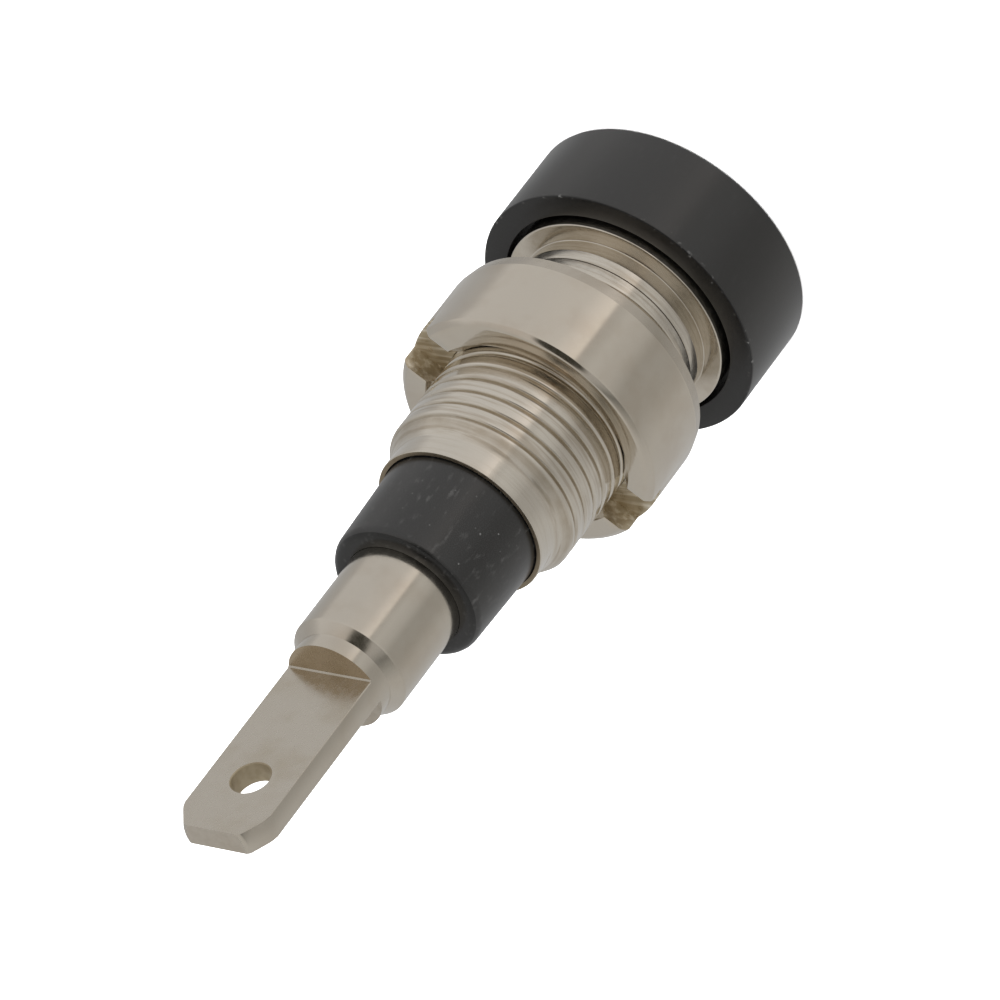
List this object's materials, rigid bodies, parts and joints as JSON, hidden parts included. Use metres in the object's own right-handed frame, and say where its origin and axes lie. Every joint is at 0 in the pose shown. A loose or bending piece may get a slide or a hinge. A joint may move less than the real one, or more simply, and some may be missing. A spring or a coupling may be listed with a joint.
{
  "type": "banana socket",
  "caption": "Panel socket for a small banana plug: insulated round head, threaded metal bush with a slotted ring nut, and a drilled contact ending in a flat soldering tab.",
  "frame": {"origin": "on the plug bore's axis, in the plane of the flange's rear face where the panel sits", "axes": "+Z along the bore's axis from the head towards the soldering tab, X across the tab's width, Y along the axis of the tab's hole"},
  "size_m": [0.0086, 0.0086, 0.0249],
  "materials": {
    "black_plastic": "satin moulded plastic",
    "nickel_bush": "nickel-plated turned brass",
    "nickel_nut": "nickel-plated turned brass",
    "nickel_contact": "nickel-plated turned and milled brass"
  },
  "bodies": {
    "socket": {"insulating_body": "black_plastic", "threaded_bush": "nickel_bush", "socket_contact": "nickel_contact"},
    "nut": {"ring_nut": "nickel_nut"}
  },
  "joints": [
    {"name": "nut_travel", "type": "slide", "parent": "socket", "child": "nut", "axis": [0, 0, 1], "range_m": [-0.00195, 0.00575]}
  ]
}
